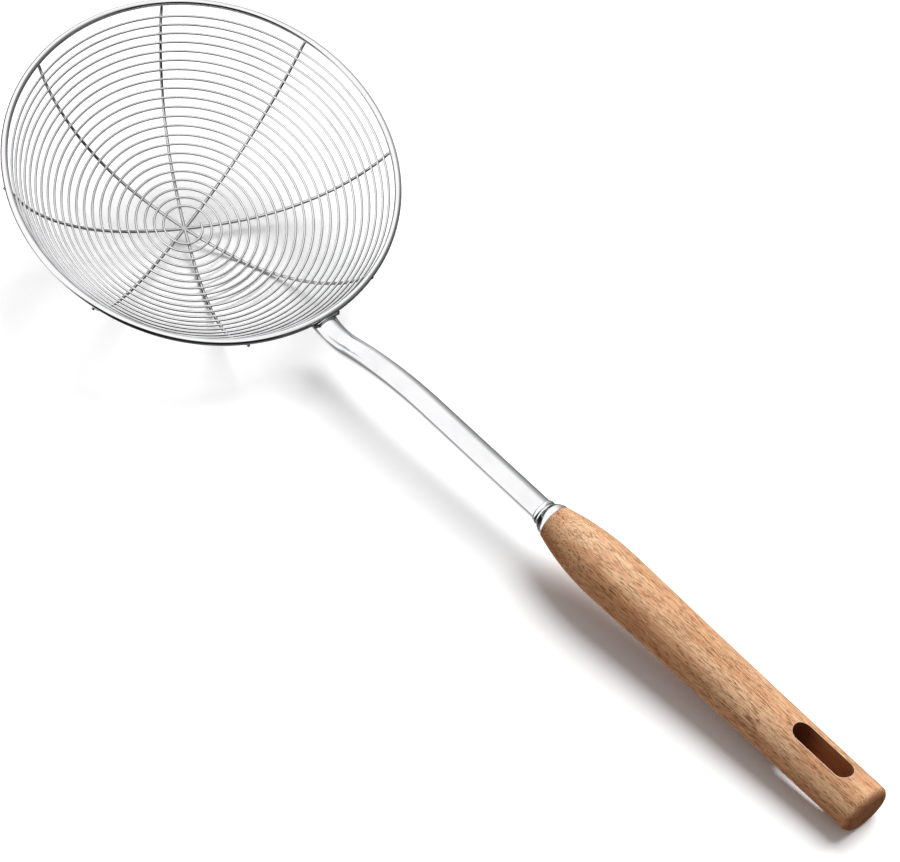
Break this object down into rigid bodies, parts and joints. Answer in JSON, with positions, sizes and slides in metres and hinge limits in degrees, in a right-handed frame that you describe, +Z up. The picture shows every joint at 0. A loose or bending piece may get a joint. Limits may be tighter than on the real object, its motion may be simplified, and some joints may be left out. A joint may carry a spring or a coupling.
{
  "type": "spider skimmer",
  "caption": "Spider skimmer: a shallow round basket of spiral wire on crossed rib wires, with a bent steel tube and a tapered wooden grip that has a hanging slot.",
  "frame": {"origin": "middle of the resting footprint's bounding box, on the surface the skimmer lies on", "axes": "+X from the basket to the butt of the grip, +Z up as it lies on its basket and on the butt's lower edge"},
  "size_m": [0.4402, 0.16, 0.0779],
  "materials": {
    "polished_steel": "polished stainless steel",
    "steel_wire": "bright drawn stainless wire",
    "weld_metal": "dark weld metal",
    "tang_steel": "turned steel",
    "beech_wood": "oiled beech"
  },
  "bodies": {
    "root": {"rim_ring": "polished_steel", "spiral_wire": "steel_wire", "rib_wire_1": "steel_wire", "rib_wire_2": "steel_wire", "rib_wire_3": "steel_wire", "rib_wire_4": "steel_wire", "shaft_tube": "polished_steel", "rim_weld_left": "weld_metal", "rim_weld_right": "weld_metal", "collar_ring": "polished_steel", "ferrule_cap": "polished_steel", "grip_tang": "tang_steel", "wood_grip": "beech_wood"}
  },
  "joints": []
}
